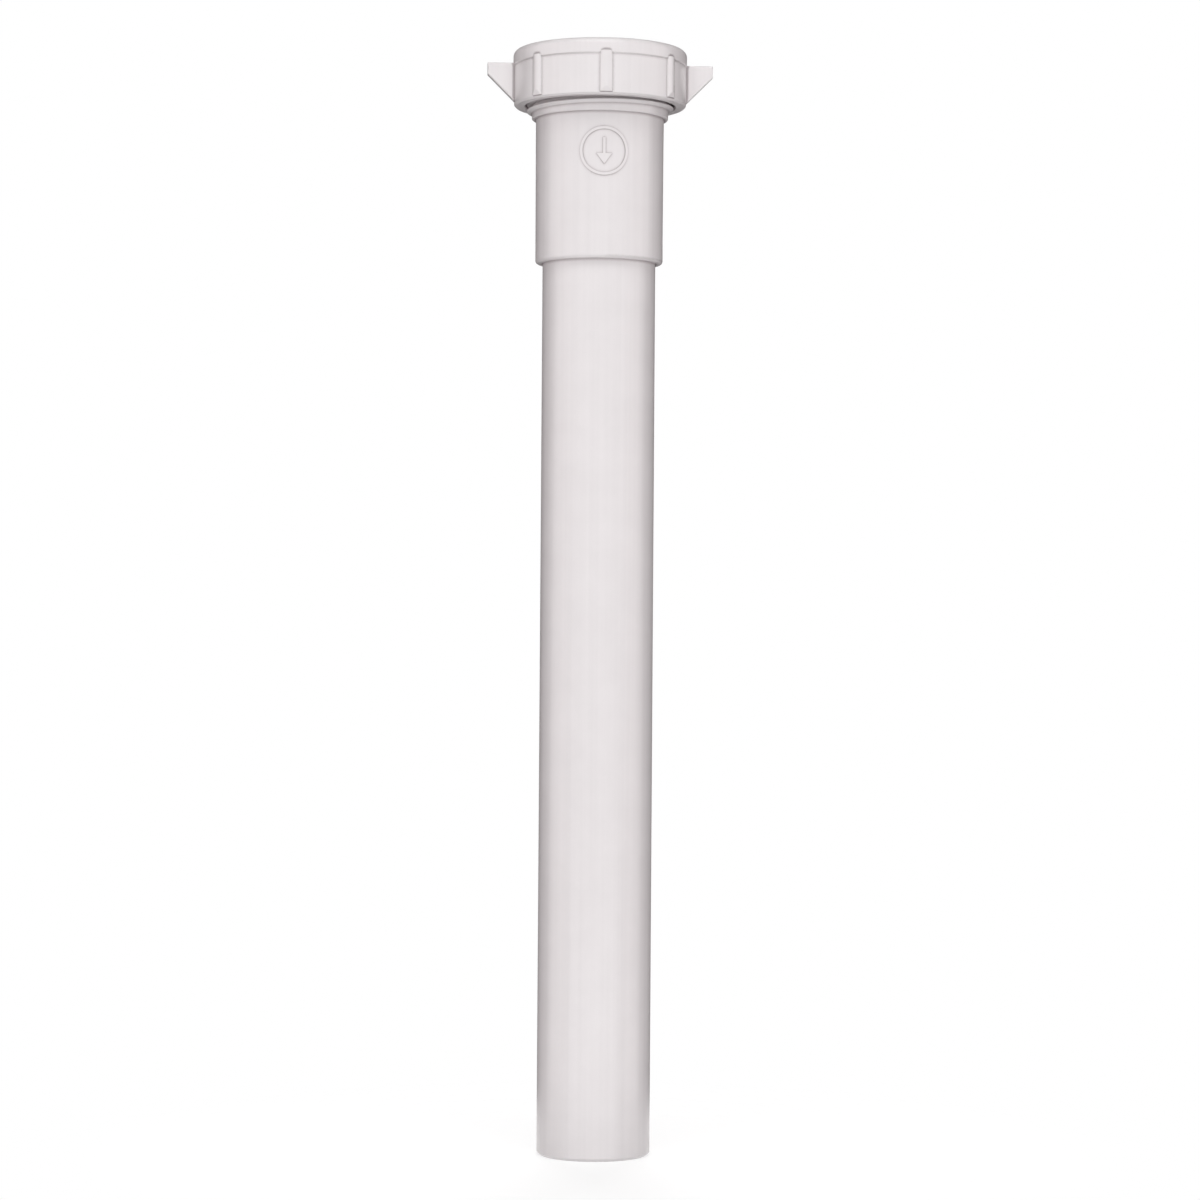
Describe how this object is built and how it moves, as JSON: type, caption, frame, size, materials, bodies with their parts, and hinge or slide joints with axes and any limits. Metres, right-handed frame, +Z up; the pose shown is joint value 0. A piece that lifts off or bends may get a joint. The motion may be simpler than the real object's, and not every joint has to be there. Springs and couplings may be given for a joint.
{
  "type": "basin waste tail pipe",
  "caption": "Straight plastic pipe with a socket hub on top, closed by a winged slip nut over a bevelled sealing washer, that carries a basin's waste down to its trap.",
  "frame": {"origin": "on the pipe's axis, at its square-cut lower end", "axes": "+Z up along the pipe, out of the socket; X across the nut's two wings; -Y towards the nut's front rib"},
  "size_m": [0.0636, 0.0498, 0.3101],
  "materials": {
    "tube_plastic": "white moulded polypropylene, satin",
    "nut_plastic": "white moulded polypropylene, satin",
    "washer_plastic": "natural moulded polyethylene, matt"
  },
  "bodies": {
    "tube": {"extension_tube": "tube_plastic"},
    "washer": {"slip_washer": "washer_plastic"},
    "nut": {"slip_nut": "nut_plastic"}
  },
  "joints": [
    {"name": "washer_rise", "type": "slide", "parent": "tube", "child": "washer", "axis": [0, 0, 1], "range_m": [0, 0.00884]},
    {"name": "nut_turn", "type": "hinge", "parent": "washer", "child": "nut", "pos_m": [0, 0, 0.302], "axis": [0, 0, 1], "range_deg": [0, 1440]}
  ],
  "couplings": [
    {"joint": "washer_rise", "follows": "nut_turn", "m_per_rad": 0.00035157}
  ]
}
